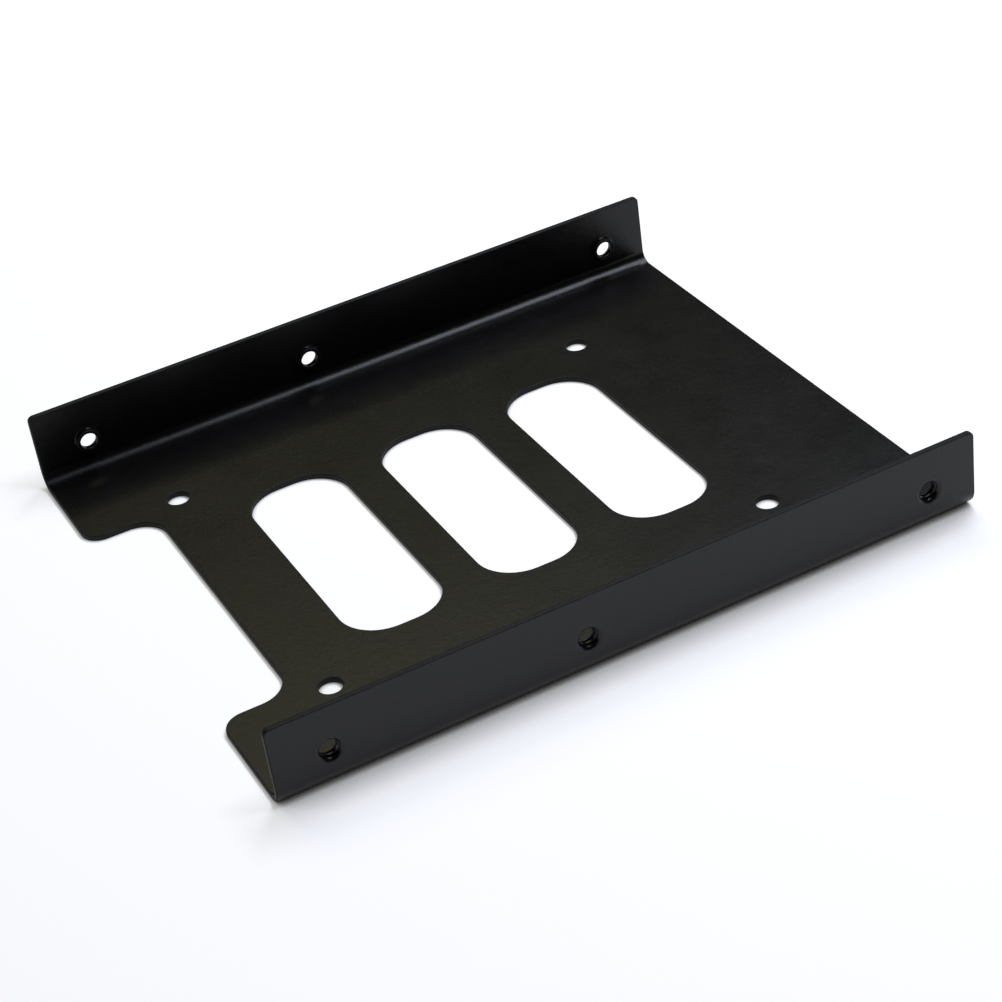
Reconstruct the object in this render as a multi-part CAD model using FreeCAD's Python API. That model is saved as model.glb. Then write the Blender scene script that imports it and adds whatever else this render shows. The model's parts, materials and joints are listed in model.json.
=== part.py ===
"""Tray that carries a 2.5 inch drive in a 3.5 inch drive bay, folded from one sheet of steel.

Millimetres. The origin is under the middle of the tray, on its underside. +X runs from the notched
end, where the drive's sockets are, to the plain end. +Y runs across the tray. +Z is up, the way
the two side flanges are folded.
"""

import FreeCAD, Part
import math
import os

from FreeCAD import Vector

# Sheet and folds
SHEET = 1.0                      # thickness of the steel
TRAY_WIDTH = 101.6               # over the flanges: the width of a 3.5 inch drive
FLANGE_HEIGHT = 14.0             # from the underside to the flange's free edge
BEND_RADIUS = 2.0                # inside the fold
FLANGE_CORNER_RADIUS = 1.0
EDGE_BREAK = 0.15                # on every cut edge, which is deburred and painted

# Notch that leaves the drive's sockets free, between two ears
NOTCH_DEPTH = 12.0
NOTCH_WIDTH = 57.0
NOTCH_FILLET = 5.0               # in the corners of the notch
EAR_RADIUS = 3.5                 # on the ears, at the mouth of the notch

# Vent slots
SLOT_COUNT = 3
SLOT_START = 25.1                # from the notched end to the first slot
SLOT_WIDTH = 17.0                # along the tray
SLOT_LENGTH = 47.3               # across the tray
SLOT_PITCH = 24.0
SLOT_RADIUS = 7.0

# Clearance holes for the drive's screws
DRIVE_HOLE_START = 17.1          # from the notched end to the first pair
DRIVE_HOLE_SPACING = 76.6        # along the tray
DRIVE_HOLE_GAUGE = 61.72         # across the tray
DRIVE_HOLE_DIAMETER = 3.8

# Tapped holes for the screws of the bay, drawn inwards so that the thread has enough length
BAY_HOLE_OUTER_SPACING = 101.6   # first hole to last hole
BAY_HOLE_MIDDLE_SPACING = 41.6   # first hole to middle hole
BAY_HOLE_START = 9.0             # from the notched end to the first hole
BAY_HOLE_FINISH = 8.4            # from the last hole to the plain end
BAY_HOLE_HEIGHT = 6.35           # above the underside
BAY_HOLE_DIAMETER = 2.9          # between the crests of the thread
BAY_HOLE_MOUTH_RADIUS = 0.9      # where the outer face is drawn into the hole
COLLAR_HEIGHT = 0.9              # above the flange's inner face
COLLAR_WALL = 0.65
COLLAR_FILLET = 0.3              # at the foot of the collar

# Places that follow from the sizes
TRAY_LENGTH = BAY_HOLE_START + BAY_HOLE_OUTER_SPACING + BAY_HOLE_FINISH
NOTCHED_END = -TRAY_LENGTH / 2
PLAIN_END = TRAY_LENGTH / 2
OUTER_FACE = TRAY_WIDTH / 2
INNER_FACE = OUTER_FACE - SHEET
MID_SHEET = SHEET / 2
SIDES = (-1, 1)
SQUARE = math.radians(60)        # faces that meet at more than this have a cut edge between them
TURN_STEPS = 3                   # flats in each quarter round of a flange hole


def round_edges(shape, places, radius):
    """The shape with its edges through these places rounded."""
    points = [Part.Vertex(place) for place in places]
    edges = []
    for edge in shape.Edges:
        if any(edge.distToShape(point)[0] < 1e-6 for point in points):
            edges.append(edge)
    return shape.makeFillet(radius, edges)


def folded_channel():
    """Flat bottom with a flange folded up along each side, as one section carried along the length."""
    section = [
        (-OUTER_FACE, 0),
        (OUTER_FACE, 0),
        (OUTER_FACE, FLANGE_HEIGHT),
        (INNER_FACE, FLANGE_HEIGHT),
        (INNER_FACE, SHEET),
        (-INNER_FACE, SHEET),
        (-INNER_FACE, FLANGE_HEIGHT),
        (-OUTER_FACE, FLANGE_HEIGHT),
    ]
    corners = [Vector(NOTCHED_END, y, z) for y, z in section]
    face = Part.Face(Part.makePolygon(corners + corners[:1]))
    channel = face.extrude(Vector(TRAY_LENGTH, 0, 0))
    outer_folds = [Vector(0, side * OUTER_FACE, 0) for side in SIDES]
    inner_folds = [Vector(0, side * INNER_FACE, SHEET) for side in SIDES]
    channel = round_edges(channel, outer_folds, BEND_RADIUS + SHEET)
    return round_edges(channel, inner_folds, BEND_RADIUS)


def round_flange_corners(tray):
    """The flanges' free corners, rounded."""
    middle = OUTER_FACE - MID_SHEET
    ends = (NOTCHED_END, PLAIN_END)
    places = [Vector(end, side * middle, FLANGE_HEIGHT) for end in ends for side in SIDES]
    return round_edges(tray, places, FLANGE_CORNER_RADIUS)


def window(start, length, width):
    """Tool that cuts a rectangle through the bottom, from a place along the tray, midway across it."""
    return Part.makeBox(length, width, 3 * SHEET, Vector(start, -width / 2, -SHEET))


def cut_notch(tray):
    """The notch in the end of the bottom, with the ears rounded at its mouth."""
    bottom_of_notch = NOTCHED_END + NOTCH_DEPTH
    tray = tray.cut(window(NOTCHED_END - SHEET, NOTCH_DEPTH + SHEET, NOTCH_WIDTH))
    mouth = [Vector(NOTCHED_END, side * NOTCH_WIDTH / 2, MID_SHEET) for side in SIDES]
    corners = [Vector(bottom_of_notch, side * NOTCH_WIDTH / 2, MID_SHEET) for side in SIDES]
    tray = round_edges(tray, mouth, EAR_RADIUS)
    return round_edges(tray, corners, NOTCH_FILLET)


def cut_slots(tray):
    """The row of vent slots under the drive."""
    for number in range(SLOT_COUNT):
        start = NOTCHED_END + SLOT_START + number * SLOT_PITCH
        tray = tray.cut(window(start, SLOT_WIDTH, SLOT_LENGTH))
        ends = (start, start + SLOT_WIDTH)
        corners = [Vector(x, side * SLOT_LENGTH / 2, MID_SHEET) for x in ends for side in SIDES]
        tray = round_edges(tray, corners, SLOT_RADIUS)
    return tray


def cut_drive_holes(tray):
    """The four holes in the bottom for the drive's screws."""
    first = NOTCHED_END + DRIVE_HOLE_START
    for x in (first, first + DRIVE_HOLE_SPACING):
        for side in SIDES:
            foot = Vector(x, side * DRIVE_HOLE_GAUGE / 2, -SHEET)
            tray = tray.cut(Part.makeCylinder(DRIVE_HOLE_DIAMETER / 2, 3 * SHEET, foot))
    return tray


def quarter_round(radius, depth, size):
    """Corners of a profile that turns from a face at this depth into a wall at this radius."""
    angles = [math.radians(90 * step / TURN_STEPS) for step in range(TURN_STEPS + 1)]
    return [(radius + size * (1 - math.sin(turn)), depth + size * (1 - math.cos(turn))) for turn in angles]


def turned(x, side, profile):
    """Profile of radii, and depths below the flange's outer face, turned about a hole's axis."""
    corners = [Vector(x + radius, side * (OUTER_FACE - depth), BAY_HOLE_HEIGHT) for radius, depth in profile]
    face = Part.Face(Part.makePolygon(corners + corners[:1]))
    return face.revolve(Vector(x, 0, BAY_HOLE_HEIGHT), Vector(0, 1, 0), 360)


def cut_bay_holes(tray):
    """Three tapped holes in each flange, where a 3.5 inch drive has them, each drawn into a collar."""
    bore = BAY_HOLE_DIAMETER / 2
    collar = bore + COLLAR_WALL
    top = SHEET + COLLAR_HEIGHT
    collar_profile = [(0, MID_SHEET), (collar + COLLAR_FILLET, MID_SHEET)]
    collar_profile += quarter_round(collar, SHEET, COLLAR_FILLET) + [(collar, top), (0, top)]
    bore_profile = [(0, -SHEET), (bore + BAY_HOLE_MOUTH_RADIUS, -SHEET)]
    bore_profile += quarter_round(bore, 0, BAY_HOLE_MOUTH_RADIUS) + [(bore, top + SHEET), (0, top + SHEET)]
    for spacing in (0, BAY_HOLE_MIDDLE_SPACING, BAY_HOLE_OUTER_SPACING):
        x = NOTCHED_END + BAY_HOLE_START + spacing
        for side in SIDES:
            tray = tray.fuse(turned(x, side, collar_profile))
            tray = tray.cut(turned(x, side, bore_profile))
    return tray


def is_cut_edge(shape, edge):
    """True for an edge between two faces that stand about square to each other."""
    middle = edge.valueAt((edge.FirstParameter + edge.LastParameter) / 2)
    normals = []
    for face in shape.ancestorsOfType(edge, Part.Face):
        normals.append(face.normalAt(*face.Surface.parameter(middle)))
    return len(normals) == 2 and normals[0].getAngle(normals[1]) > SQUARE


def break_cut_edges(tray):
    """Takes the sharpness off the edges that shearing and piercing leave."""
    return tray.makeChamfer(EDGE_BREAK, [edge for edge in tray.Edges if is_cut_edge(tray, edge)])


def drive_tray():
    """The whole tray, folded and pierced."""
    tray = round_flange_corners(folded_channel())
    tray = cut_notch(tray)
    tray = cut_slots(tray)
    tray = cut_drive_holes(tray)
    return break_cut_edges(cut_bay_holes(tray))


os.makedirs("parts", exist_ok=True)
drive_tray().exportStep("parts/drive_tray.step")
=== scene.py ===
"""Looks of a drive tray that is folded from one sheet of steel and painted black.

Metres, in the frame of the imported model: +X runs from the notched end to the plain end, +Y across
the tray, and +Z up, the way its two flanges are folded. The tray is modelled in millimetres and
scaled to metres once its shape is done.
"""

import json
import math

import bpy
from mathutils import Euler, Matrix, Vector


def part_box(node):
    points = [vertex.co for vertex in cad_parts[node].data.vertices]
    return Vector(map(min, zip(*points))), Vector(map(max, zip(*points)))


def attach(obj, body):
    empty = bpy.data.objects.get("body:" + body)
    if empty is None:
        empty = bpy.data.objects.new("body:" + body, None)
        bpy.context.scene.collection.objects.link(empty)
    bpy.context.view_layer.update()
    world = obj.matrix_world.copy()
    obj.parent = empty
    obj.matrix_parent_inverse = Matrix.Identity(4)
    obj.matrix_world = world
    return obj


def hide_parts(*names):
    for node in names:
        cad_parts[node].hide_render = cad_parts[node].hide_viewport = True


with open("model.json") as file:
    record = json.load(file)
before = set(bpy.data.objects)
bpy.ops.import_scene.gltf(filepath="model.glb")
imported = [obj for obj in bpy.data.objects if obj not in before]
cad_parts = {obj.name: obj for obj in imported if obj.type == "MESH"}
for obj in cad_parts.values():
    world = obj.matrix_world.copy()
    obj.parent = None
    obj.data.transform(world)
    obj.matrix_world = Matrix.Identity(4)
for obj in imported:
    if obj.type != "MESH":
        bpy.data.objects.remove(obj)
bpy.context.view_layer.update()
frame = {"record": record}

MM = 0.001
LOW, HIGH = (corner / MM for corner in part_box("drive_tray"))
MOUNTS = {mount["name"]: mount for mount in frame["record"]["mounts"]}
SIDES = (-1, 1)

# Sheet and folds
SHEET = 1.0
BEND_INSIDE = 2.0
BEND_OUTSIDE = BEND_INSIDE + SHEET
FLANGE_CORNER = 1.0
EDGE_ROUNDING = 0.2

# Notch between the two ears
NOTCH_DEPTH = 12.0
NOTCH_WIDTH = 57.0
NOTCH_FILLET = 5.0
EAR_RADIUS = 3.5

# Vent slots
SLOT_COUNT = 3
SLOT_START = 25.1
SLOT_WIDTH = 17.0
SLOT_LENGTH = 47.3
SLOT_PITCH = 24.0
SLOT_RADIUS = 7.0

# Tapped holes, each drawn inwards into a collar
BAY_OUTER = MOUNTS["bay_outer_screws_plus_y"]
BAY_NEAR = MOUNTS["bay_near_screws_plus_y"]
BAY_HOLE_HEIGHT = BAY_OUTER["pos_m"][2] / MM
BORE = BAY_OUTER["dims"]["hole_r_mm"]
MOUTH_RADIUS = 0.9
COLLAR_HEIGHT = 0.9
COLLAR_WALL = 0.65
COLLAR_FILLET = 0.3
THREAD_PITCH = 25.4 / 32
THREAD_DEPTH = 0.3
THREAD_ROOT = THREAD_PITCH / 8   # width of the flat at the bottom of the groove
THREAD_SLOPE = math.tan(math.radians(30))
THREAD_TURNS = 5

# Fineness and tolerances of the mesh
BEND_STEPS = 16
CORNER_STEPS = 12
EDGE_STEPS = 3
ROUND_STEPS = 64
THREAD_STEPS = 48                # in each turn
CUT_ANGLE = math.radians(60)     # faces that meet at more than this have a cut edge between them
SMOOTH_ANGLE = math.radians(40)  # faces that meet at less than this are shaded as one
FACING = 0.5                     # least part of a face's normal along the axis that it faces
TINY = 1e-4                      # places this close are the same
SINK = 0.001                     # how far above the outer face the tools for the flanges start
TAP_OVERLAP = 0.1                # how far the tap reaches into the open bore
SLIVER = 0.002                   # points this close are merged once the threads are cut
SHORTEST_EDGE = SLIVER / 4

# Paint
PAINT_IOR = 1.38
DARK_PAINT = (0.0028, 0.0027, 0.0026, 1)
PALE_PAINT = (0.0050, 0.0049, 0.0047, 1)
# paler colour on the rounded edges: a painted highlight along them
EDGE_HIGHLIGHT_PAINT = (0.009, 0.009, 0.009, 1)
SMOOTH_PAINT = 0.22              # roughness where the coat is smoothest
COARSE_PAINT = 0.42              # and where it is coarsest
CUT_EDGE_PAINT = 0.65            # and on cut edges, where it is thin
PEEL_SCALE = 900                 # waves in a metre
GRAIN_SCALE = 3600
TONE_SCALE = 60
RELIEF_STRENGTH = 0.6
RELIEF_HEIGHT = 0.06 * MM

# Studio, in metres
FLOOR_SIZE = 8
FLOOR_COLOUR = (0.9, 0.9, 0.9, 1)
# colour of the painted contact shadow on the floor
PAINTED_SHADOW = (0, 0, 0, 1)
NEAR_GLOW = 0.45                 # the floor's own light beside the lamps' light
FAR_GLOW = 1.0
LIT_FLOOR = 0.3                  # how far the lamps light the floor fully
DIM_FLOOR = 1.0                  # where the glow alone has to make it white
SHADE_REACH = 12 * MM            # how far from the tray its painted contact shadow reaches
SHADE_SAMPLES = 8
BLACK_BELOW = 0.2                # openness of the floor to the sky where the painted contact shadow is black
CLEAR_ABOVE = 0.72               # and where it ends
HORIZON_LIGHT = 1.0
CEILING_LIGHT = 0.22
HORIZON_TOP = 0.05               # upward part of the direction where the horizon starts to fade
CEILING_START = 0.35             # and where the ceiling starts

# Camera, fitted to the holes and edges of the tray
CAMERA_PLACE = (-0.12781, -0.30473, 0.22101)
CAMERA_TURN = (55.754, 7.122, -27.938)
CAMERA_LENS = 87.605             # in millimetres, as is the sensor
CAMERA_SENSOR = 36

# Places of a Mix node's sockets, which differ with the kind of data that it mixes
FACTOR = 0
VALUE_A, VALUE_B, MIXED_VALUE = 2, 3, 0
COLOUR_A, COLOUR_B, MIXED_COLOUR = 6, 7, 2


def take(piece):
    """Makes this the one selected and active object."""
    bpy.ops.object.select_all(action="DESELECT")
    piece.select_set(True)
    bpy.context.view_layer.objects.active = piece


def select_edges(piece, wanted):
    """Goes into edit mode with the edges selected whose two ends pass a test."""
    take(piece)
    bpy.ops.object.mode_set(mode="EDIT")
    bpy.ops.mesh.select_mode(type="EDGE")
    bpy.ops.mesh.select_all(action="DESELECT")
    bpy.ops.object.mode_set(mode="OBJECT")
    points = piece.data.vertices
    for edge in piece.data.edges:
        edge.select = wanted(*(points[end].co for end in edge.vertices))
    bpy.ops.object.mode_set(mode="EDIT")


def round_selected(radius, steps):
    """Rounds the selected edges and leaves edit mode."""
    bpy.ops.mesh.bevel(offset=radius, segments=steps, profile=0.5, affect="EDGES", clamp_overlap=False)
    bpy.ops.object.mode_set(mode="OBJECT")


def face_outwards():
    """Turns all normals of the mesh in edit mode outwards."""
    bpy.ops.mesh.select_all(action="SELECT")
    bpy.ops.mesh.normals_make_consistent(inside=False)


def apply_modifier(piece, kind, **settings):
    """Adds one modifier with these settings and applies it."""
    modifier = piece.modifiers.new(kind.lower(), kind)
    for name, value in settings.items():
        setattr(modifier, name, value)
    take(piece)
    bpy.ops.object.modifier_apply(modifier=modifier.name)


def cut(piece, tool, operation="DIFFERENCE"):
    """Takes the tool's shape out of the piece, or joins it on."""
    apply_modifier(piece, "BOOLEAN", operation=operation, solver="EXACT", object=tool)


def upright(first, second):
    """True for an edge that runs straight up."""
    return (first - second).xy.length < TINY


def settle(size):
    """Scales the active object, and puts its size, turn and place into its mesh."""
    piece = bpy.context.active_object
    piece.scale = size
    bpy.ops.object.transform_apply(location=True, rotation=True, scale=True)
    return piece


def block(low, high):
    """A box between two corners."""
    bpy.ops.object.select_all(action="DESELECT")
    bpy.ops.mesh.primitive_cube_add(size=1, location=(low + high) / 2)
    return settle(high - low)


def folded_sheet():
    """The sheet as it comes out of the press brake: a flat bottom and two flanges folded up."""
    fold_line = HIGH.y - BEND_OUTSIDE
    bpy.ops.object.select_all(action="DESELECT")
    bpy.ops.mesh.primitive_plane_add(size=1, location=(0, fold_line / 2, LOW.z))
    tray = settle((HIGH.x - LOW.x, fold_line, 1))
    tray.name = "folded_tray"
    tray.data.name = "folded_tray"

    select_edges(tray, lambda first, second: min(first.y, second.y) > fold_line - TINY)
    bpy.ops.mesh.spin(
        steps=BEND_STEPS,
        angle=math.radians(-90),
        center=(0, fold_line, LOW.z + BEND_OUTSIDE),
        axis=(1, 0, 0),
    )
    rise = HIGH.z - LOW.z - BEND_OUTSIDE
    bpy.ops.mesh.extrude_region_move(TRANSFORM_OT_translate={"value": (0, 0, rise)})
    bpy.ops.object.mode_set(mode="OBJECT")

    apply_modifier(tray, "MIRROR", use_axis=(False, True, False), merge_threshold=TINY)
    take(tray)
    bpy.ops.object.mode_set(mode="EDIT")
    bpy.ops.mesh.select_all(action="SELECT")
    bpy.ops.mesh.remove_doubles(threshold=TINY)
    face_outwards()
    bpy.ops.object.mode_set(mode="OBJECT")
    bottom = min(tray.data.polygons, key=lambda face: face.center.z)
    if bottom.normal.z > 0:
        tray.data.flip_normals()
    apply_modifier(tray, "SOLIDIFY", thickness=SHEET, offset=-1, use_even_offset=True)
    return tray


def round_flange_corners(tray):
    """Rounds the free corners of the flanges."""

    def at_corner(first, second):
        across = abs(first.y - second.y) > SHEET / 2 and abs(first.y) > HIGH.y - 2 * SHEET
        at_top = min(first.z, second.z) > HIGH.z - TINY
        at_end = abs(first.x - second.x) < TINY and abs(first.x) > HIGH.x - TINY
        return across and at_top and at_end

    select_edges(tray, at_corner)
    round_selected(FLANGE_CORNER, CORNER_STEPS)


def cut_notch(tray):
    """Cuts the notch that leaves the drive's sockets free, and rounds the ears at its mouth."""
    half = NOTCH_WIDTH / 2
    end_of_notch = LOW.x + NOTCH_DEPTH
    low = Vector((LOW.x - SHEET, -half, LOW.z - SHEET))
    tool = block(low, Vector((end_of_notch, half, LOW.z + 2 * SHEET)))
    select_edges(tool, lambda first, second: upright(first, second) and first.x > end_of_notch - TINY)
    round_selected(NOTCH_FILLET, CORNER_STEPS)
    cut(tray, tool)
    bpy.data.objects.remove(tool)

    def at_mouth(first, second):
        return upright(first, second) and first.x < LOW.x + TINY and abs(abs(first.y) - half) < TINY

    select_edges(tray, at_mouth)
    round_selected(EAR_RADIUS, CORNER_STEPS)


def cut_slots(tray):
    """Cuts the row of vent slots with one tool, moved on by the pitch."""
    half = SLOT_LENGTH / 2
    start = LOW.x + SLOT_START
    low = Vector((start, -half, LOW.z - SHEET))
    tool = block(low, Vector((start + SLOT_WIDTH, half, LOW.z + 2 * SHEET)))
    select_edges(tool, upright)
    round_selected(SLOT_RADIUS, CORNER_STEPS)
    for _ in range(SLOT_COUNT):
        cut(tray, tool)
        tool.location.x += SLOT_PITCH
    bpy.data.objects.remove(tool)


def cut_drive_holes(tray):
    """Drills the four clearance holes where the record's mount has them."""
    mount = MOUNTS["drive_screws"]
    middle = Vector(mount["pos_m"]) / MM
    bpy.ops.object.select_all(action="DESELECT")
    bpy.ops.mesh.primitive_cylinder_add(
        vertices=ROUND_STEPS, radius=mount["dims"]["hole_r_mm"], depth=3 * SHEET
    )
    tool = bpy.context.active_object
    for x_side in SIDES:
        for y_side in SIDES:
            along = x_side * mount["dims"]["spacing_x_mm"] / 2
            across = y_side * mount["dims"]["spacing_y_mm"] / 2
            tool.location = middle + Vector((along, across, 0))
            cut(tray, tool)
    bpy.data.objects.remove(tool)


def bay_hole_places():
    """Where the flange holes are along the tray, from the record's mounts."""
    first = BAY_OUTER["pos_m"][0] / MM - BAY_OUTER["dims"]["spacing_x_mm"] / 2
    return [first, first + BAY_NEAR["dims"]["spacing_x_mm"], first + BAY_OUTER["dims"]["spacing_x_mm"]]


def work_flanges(tray, tool, operation="DIFFERENCE"):
    """Uses a tool at each flange hole. It points along +Z, and its origin goes to the outer face."""
    for side in SIDES:
        tool.rotation_euler = (-side * math.radians(90), 0, 0)
        for x in bay_hole_places():
            tool.location = (x, side * (HIGH.y + SINK), BAY_HOLE_HEIGHT)
            cut(tray, tool, operation)
    bpy.data.objects.remove(tool)


def turned(rings):
    """Solid drawn up ring by ring along Z, from the radius and height of each ring."""
    radius, height = rings[0]
    bpy.ops.object.select_all(action="DESELECT")
    bpy.ops.mesh.primitive_circle_add(
        vertices=ROUND_STEPS, radius=radius, fill_type="NGON", location=(0, 0, height)
    )
    tool = settle((1, 1, 1))
    bpy.ops.object.mode_set(mode="EDIT")
    bpy.ops.mesh.select_all(action="SELECT")
    for next_radius, next_height in rings[1:]:
        bpy.ops.mesh.extrude_region_move(TRANSFORM_OT_translate={"value": (0, 0, next_height - height)})
        growth = next_radius / radius
        bpy.ops.transform.resize(value=(growth, growth, 1), center_override=(0, 0, next_height))
        radius, height = next_radius, next_height
    face_outwards()
    bpy.ops.object.mode_set(mode="OBJECT")
    return tool


def flare(radius, depth, size):
    """Rings that turn from a wall at this radius into a face at this depth."""
    turns = [math.radians(90 * step / CORNER_STEPS) for step in range(CORNER_STEPS + 1)]
    return [(radius + size * (1 - math.cos(turn)), -depth - size * (1 - math.sin(turn))) for turn in turns]


def collar():
    """Tool for the collar that stands on a flange's inner face, with a fillet at its foot."""
    outside = BORE + COLLAR_WALL
    end = (outside, -SHEET - COLLAR_HEIGHT)
    root = (outside + COLLAR_FILLET, -SHEET / 2)
    return turned([end] + flare(outside, SHEET, COLLAR_FILLET) + [root])


def bay_drill():
    """Tool for a flange hole: a plain bore that the outer face turns into."""
    end = (BORE, -2 * SHEET - COLLAR_HEIGHT)
    mouth = (BORE + MOUTH_RADIUS, SHEET)
    return turned([end] + flare(BORE, 0, MOUTH_RADIUS) + [mouth])


def tap():
    """Tool for the thread of a flange hole: a groove with the thread's form, wound as a helix."""
    root = BORE + THREAD_DEPTH
    depth = THREAD_DEPTH + TAP_OVERLAP
    half_root = THREAD_ROOT / 2
    half_base = half_root + depth * THREAD_SLOPE
    start = SHEET - THREAD_TURNS * THREAD_PITCH
    bpy.ops.object.select_all(action="DESELECT")
    bpy.ops.mesh.primitive_plane_add(
        size=1, location=(root - depth / 2, 0, 0), rotation=(math.radians(90), 0, 0)
    )
    tool = settle((depth, 2 * half_base, 1))
    select_edges(tool, lambda first, second: min(first.x, second.x) > root - TINY)
    bpy.ops.transform.resize(value=(1, 1, half_root / half_base), center_override=(root, 0, 0))
    bpy.ops.mesh.select_all(action="SELECT")
    bpy.ops.transform.translate(value=(0, 0, start))
    bpy.ops.mesh.delete(type="ONLY_FACE")
    bpy.ops.object.mode_set(mode="OBJECT")
    apply_modifier(
        tool,
        "SCREW",
        axis="Z",
        screw_offset=THREAD_PITCH,
        iterations=THREAD_TURNS,
        steps=THREAD_STEPS,
        render_steps=THREAD_STEPS,
    )
    take(tool)
    bpy.ops.object.mode_set(mode="EDIT")
    bpy.ops.mesh.select_all(action="SELECT")
    bpy.ops.mesh.remove_doubles(threshold=TINY)
    bpy.ops.mesh.fill_holes(sides=0)
    face_outwards()
    bpy.ops.object.mode_set(mode="OBJECT")
    return tool


def merge_slivers(piece):
    """Closes the slivers that the tap leaves where its groove runs out."""
    take(piece)
    bpy.ops.object.mode_set(mode="EDIT")
    bpy.ops.mesh.select_all(action="SELECT")
    bpy.ops.mesh.remove_doubles(threshold=SLIVER)
    bpy.ops.mesh.dissolve_degenerate(threshold=SHORTEST_EDGE)
    bpy.ops.object.mode_set(mode="OBJECT")


def is_cut_wall(face):
    """True for a face that runs through the sheet, where it was sheared or pierced."""
    centre, normal = face.center, face.normal
    in_bottom = centre.z < LOW.z + SHEET and abs(centre.y) < HIGH.y - BEND_OUTSIDE
    at_end = abs(centre.x) > HIGH.x - SHEET
    at_top = centre.z > HIGH.z - SHEET
    pierced = in_bottom and abs(normal.z) < FACING
    return pierced or (at_end and abs(normal.x) > FACING) or (at_top and normal.z > FACING)


def round_cut_edges(tray):
    """Rounds every cut edge, and marks in two attributes what was rounded, for a painted highlight, and
    what was cut.
    """
    take(tray)
    bpy.ops.object.mode_set(mode="EDIT")
    bpy.ops.mesh.select_mode(type="EDGE")
    bpy.ops.mesh.select_all(action="DESELECT")
    bpy.ops.mesh.edges_select_sharp(sharpness=CUT_ANGLE)
    bpy.ops.mesh.bevel(
        offset=EDGE_ROUNDING,
        segments=EDGE_STEPS,
        profile=0.5,
        affect="EDGES",
        clamp_overlap=False,
        loop_slide=False,
    )
    bpy.ops.object.mode_set(mode="OBJECT")
    # the rounded faces are marked for a painted highlight in the paint's colour
    tray.data.attributes.new("painted_edge_highlight", "FLOAT", "FACE")
    tray.data.attributes.new("cut_edge", "FLOAT", "FACE")
    highlight = tray.data.attributes["painted_edge_highlight"].data
    sheared = tray.data.attributes["cut_edge"].data
    for face in tray.data.polygons:
        highlight[face.index].value = float(face.select)
        sheared[face.index].value = float(face.select or is_cut_wall(face))


tray = folded_sheet()
round_flange_corners(tray)
cut_notch(tray)
cut_slots(tray)
cut_drive_holes(tray)
work_flanges(tray, collar(), "UNION")
work_flanges(tray, bay_drill())
round_cut_edges(tray)
work_flanges(tray, tap())
merge_slivers(tray)
settle((MM, MM, MM))
bpy.ops.object.shade_smooth_by_angle(angle=SMOOTH_ANGLE)
apply_modifier(tray, "WEIGHTED_NORMAL", keep_sharp=True)


def node(tree, kind, **settings):
    """Adds a shader node with these settings."""
    made = tree.nodes.new(kind)
    for name, value in settings.items():
        setattr(made, name, value)
    return made


def ramp(tree, start, end, first, last, **settings):
    """Adds a node that carries a range of values over to another range."""
    made = node(tree, "ShaderNodeMapRange", **settings)
    limits = {"From Min": start, "From Max": end, "To Min": first, "To Max": last}
    for name, value in limits.items():
        made.inputs[name].default_value = value
    return made


def noise(tree, scale, detail, roughness=0.5):
    """Adds a noise texture."""
    made = node(tree, "ShaderNodeTexNoise")
    made.inputs["Scale"].default_value = scale
    made.inputs["Detail"].default_value = detail
    made.inputs["Roughness"].default_value = roughness
    return made


def paint_grain_group():
    """Node group: the relief of sprayed paint, a fine grain on a soft orange peel, and its tone."""
    group = bpy.data.node_groups.new("paint_grain", "ShaderNodeTree")
    group.interface.new_socket("Vector", in_out="INPUT", socket_type="NodeSocketVector")
    group.interface.new_socket("Height", in_out="OUTPUT", socket_type="NodeSocketFloat")
    group.interface.new_socket("Tone", in_out="OUTPUT", socket_type="NodeSocketFloat")
    inside = node(group, "NodeGroupInput")
    outside = node(group, "NodeGroupOutput")
    peel = noise(group, PEEL_SCALE, detail=2)
    grain = noise(group, GRAIN_SCALE, detail=3)
    tone = noise(group, TONE_SCALE, detail=6, roughness=0.8)
    height = node(group, "ShaderNodeMix", data_type="FLOAT")
    height.inputs[FACTOR].default_value = 0.5
    for texture in (peel, grain, tone):
        group.links.new(inside.outputs["Vector"], texture.inputs["Vector"])
    group.links.new(peel.outputs["Fac"], height.inputs[VALUE_A])
    group.links.new(grain.outputs["Fac"], height.inputs[VALUE_B])
    group.links.new(height.outputs[MIXED_VALUE], outside.inputs["Height"])
    group.links.new(tone.outputs["Fac"], outside.inputs["Tone"])
    return group


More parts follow.
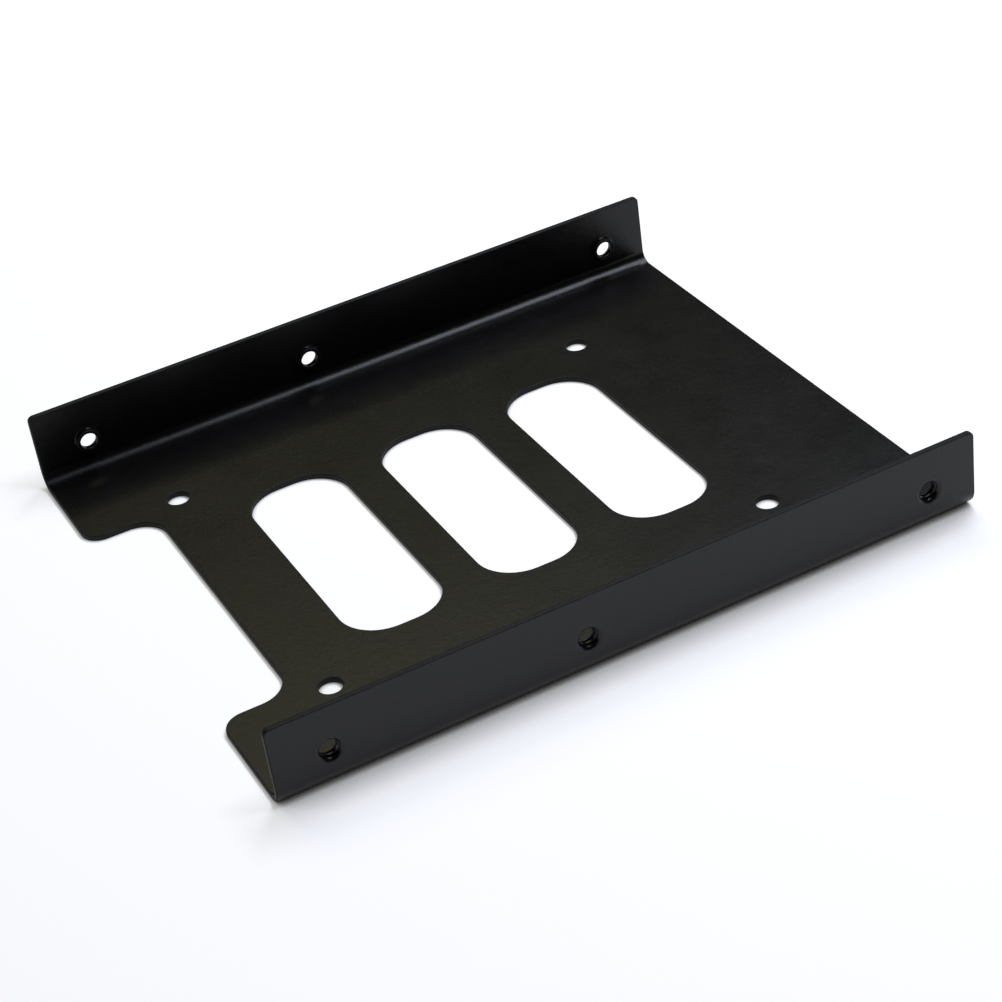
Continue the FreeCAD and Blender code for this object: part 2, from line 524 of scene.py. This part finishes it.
def black_paint():
    """Black satin paint on steel sheet, with a painted highlight in a paler colour on the roundings, and
    dull on the cut edges.
    """
    material = bpy.data.materials.new("black_paint")
    material.use_nodes = True
    tree = material.node_tree
    shader = tree.nodes["Principled BSDF"]
    shader.inputs["IOR"].default_value = PAINT_IOR
    places = node(tree, "ShaderNodeTexCoord")
    grain = node(tree, "ShaderNodeGroup", node_tree=paint_grain_group())
    highlight = node(tree, "ShaderNodeAttribute", attribute_name="painted_edge_highlight")
    sheared = node(tree, "ShaderNodeAttribute", attribute_name="cut_edge")
    colour = node(tree, "ShaderNodeMix", data_type="RGBA")
    colour.inputs[COLOUR_A].default_value = DARK_PAINT
    colour.inputs[COLOUR_B].default_value = PALE_PAINT
    edge_colour = node(tree, "ShaderNodeMix", data_type="RGBA")
    edge_colour.inputs[COLOUR_B].default_value = EDGE_HIGHLIGHT_PAINT
    roughness = ramp(tree, 0, 1, SMOOTH_PAINT, COARSE_PAINT)
    edge_roughness = node(tree, "ShaderNodeMix", data_type="FLOAT")
    edge_roughness.inputs[VALUE_B].default_value = CUT_EDGE_PAINT
    relief = node(tree, "ShaderNodeBump")
    relief.inputs["Strength"].default_value = RELIEF_STRENGTH
    relief.inputs["Distance"].default_value = RELIEF_HEIGHT
    links = tree.links
    links.new(places.outputs["Object"], grain.inputs["Vector"])
    links.new(grain.outputs["Tone"], colour.inputs[FACTOR])
    links.new(colour.outputs[MIXED_COLOUR], edge_colour.inputs[COLOUR_A])
    # the roundings take the paler colour, a painted highlight
    links.new(highlight.outputs["Fac"], edge_colour.inputs[FACTOR])
    links.new(edge_colour.outputs[MIXED_COLOUR], shader.inputs["Base Color"])
    links.new(grain.outputs["Tone"], roughness.inputs["Value"])
    links.new(roughness.outputs["Result"], edge_roughness.inputs[VALUE_A])
    links.new(sheared.outputs["Fac"], edge_roughness.inputs[FACTOR])
    links.new(edge_roughness.outputs[MIXED_VALUE], shader.inputs["Roughness"])
    links.new(grain.outputs["Height"], relief.inputs["Height"])
    links.new(relief.outputs["Normal"], shader.inputs["Normal"])
    return material


tray.data.materials.clear()
tray.data.materials.append(black_paint())
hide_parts("drive_tray")
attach(tray, "root")


def pale_floor():
    """Matt material that shows as white, with a painted contact shadow that darkens its colour and glow
    where something stands close above it.
    """
    material = bpy.data.materials.new("studio_floor")
    material.use_nodes = True
    tree = material.node_tree
    tree.nodes.clear()
    output = node(tree, "ShaderNodeOutputMaterial")
    matt = node(tree, "ShaderNodeBsdfDiffuse")
    glow = node(tree, "ShaderNodeEmission")
    both = node(tree, "ShaderNodeAddShader")
    ray = node(tree, "ShaderNodeLightPath")
    seen = node(tree, "ShaderNodeMath", operation="MAXIMUM")
    seen_through = node(tree, "ShaderNodeMath", operation="MAXIMUM")
    openness = node(tree, "ShaderNodeAmbientOcclusion", samples=SHADE_SAMPLES)
    openness.inputs["Distance"].default_value = SHADE_REACH
    # painted contact shadow: the floor's colour and glow go to black where little sky reaches it
    unshadowed = ramp(tree, BLACK_BELOW, CLEAR_ABOVE, 0, 1)
    shadowed_colour = node(tree, "ShaderNodeMix", data_type="RGBA")
    shadowed_colour.inputs[COLOUR_A].default_value = PAINTED_SHADOW
    shadowed_colour.inputs[COLOUR_B].default_value = FLOOR_COLOUR
    places = node(tree, "ShaderNodeTexCoord")
    distance = node(tree, "ShaderNodeVectorMath", operation="LENGTH")
    far = ramp(tree, LIT_FLOOR, DIM_FLOOR, NEAR_GLOW, FAR_GLOW)
    shaded = node(tree, "ShaderNodeMath", operation="MULTIPLY")
    strength = node(tree, "ShaderNodeMath", operation="MULTIPLY")
    links = tree.links
    links.new(openness.outputs["AO"], unshadowed.inputs["Value"])
    links.new(unshadowed.outputs["Result"], shadowed_colour.inputs[FACTOR])
    links.new(shadowed_colour.outputs[MIXED_COLOUR], matt.inputs["Color"])
    links.new(places.outputs["Object"], distance.inputs[0])
    links.new(distance.outputs["Value"], far.inputs["Value"])
    links.new(unshadowed.outputs["Result"], shaded.inputs[0])
    links.new(far.outputs["Result"], shaded.inputs[1])
    links.new(ray.outputs["Is Camera Ray"], seen.inputs[0])
    links.new(ray.outputs["Is Glossy Ray"], seen.inputs[1])
    links.new(seen.outputs[0], seen_through.inputs[0])
    links.new(ray.outputs["Is Transmission Ray"], seen_through.inputs[1])
    links.new(seen_through.outputs[0], strength.inputs[0])
    links.new(shaded.outputs[0], strength.inputs[1])
    links.new(strength.outputs[0], glow.inputs["Strength"])
    links.new(matt.outputs[0], both.inputs[0])
    links.new(glow.outputs[0], both.inputs[1])
    links.new(both.outputs[0], output.inputs["Surface"])
    return material


def studio_floor():
    """Floor that the tray stands on and casts its shadow on."""
    bpy.ops.object.select_all(action="DESELECT")
    bpy.ops.mesh.primitive_plane_add(size=FLOOR_SIZE, location=(0, 0, LOW.z * MM))
    floor = bpy.context.active_object
    floor.name = "studio_floor"
    floor.data.materials.append(pale_floor())


def studio_world():
    """White horizon that fades to a dim ceiling, and is white all over to the camera."""
    world = bpy.data.worlds.new("studio_world")
    bpy.context.scene.world = world
    world.use_nodes = True
    tree = world.node_tree
    light = tree.nodes["Background"]
    ray = node(tree, "ShaderNodeLightPath")
    direction = node(tree, "ShaderNodeTexCoord")
    parts = node(tree, "ShaderNodeSeparateXYZ")
    limits = (HORIZON_TOP, CEILING_START, HORIZON_LIGHT, CEILING_LIGHT)
    fade = ramp(tree, *limits, interpolation_type="SMOOTHSTEP")
    seen = node(tree, "ShaderNodeMath", operation="MAXIMUM")
    tree.links.new(direction.outputs["Generated"], parts.inputs["Vector"])
    tree.links.new(parts.outputs["Z"], fade.inputs["Value"])
    tree.links.new(fade.outputs["Result"], seen.inputs[0])
    tree.links.new(ray.outputs["Is Camera Ray"], seen.inputs[1])
    tree.links.new(seen.outputs[0], light.inputs["Strength"])


def softbox(name, place, aim, width, height, power, colour):
    """A soft light that faces a place."""
    lamp = bpy.data.lights.new(name, "AREA")
    lamp.shape = "RECTANGLE"
    lamp.size = width
    lamp.size_y = height
    lamp.energy = power
    lamp.color = colour
    light = bpy.data.objects.new(name, lamp)
    light.location = place
    light.rotation_euler = (Vector(aim) - light.location).to_track_quat("-Z", "Y").to_euler()
    bpy.context.scene.collection.objects.link(light)


def studio_lights():
    """A long cool lamp overhead, which the back fold mirrors, and a warm one behind for the bottom."""
    softbox(
        "key_light",
        place=(0.30, 0.05, 0.66),
        aim=(0, 0.05, 0),
        width=0.72,
        height=0.18,
        power=4.3,
        colour=(0.83, 0.87, 1.0),
    )
    softbox(
        "back_light",
        place=(0.03, 0.97, 1.14),
        aim=(0, 0, 0),
        width=1.0,
        height=0.5,
        power=2.7,
        colour=(1.0, 0.95, 0.6),
    )


def photo_camera():
    """Camera with the place, turn and lens of the picture that the tray was measured from."""
    lens = bpy.data.cameras.new("camera")
    lens.sensor_width = CAMERA_SENSOR
    lens.lens = CAMERA_LENS
    camera = bpy.data.objects.new("camera", lens)
    camera.location = CAMERA_PLACE
    camera.rotation_euler = Euler([math.radians(angle) for angle in CAMERA_TURN])
    bpy.context.scene.collection.objects.link(camera)
    bpy.context.scene.camera = camera


studio_floor()
studio_world()
studio_lights()
photo_camera()
bpy.context.scene.view_settings.view_transform = "Standard"
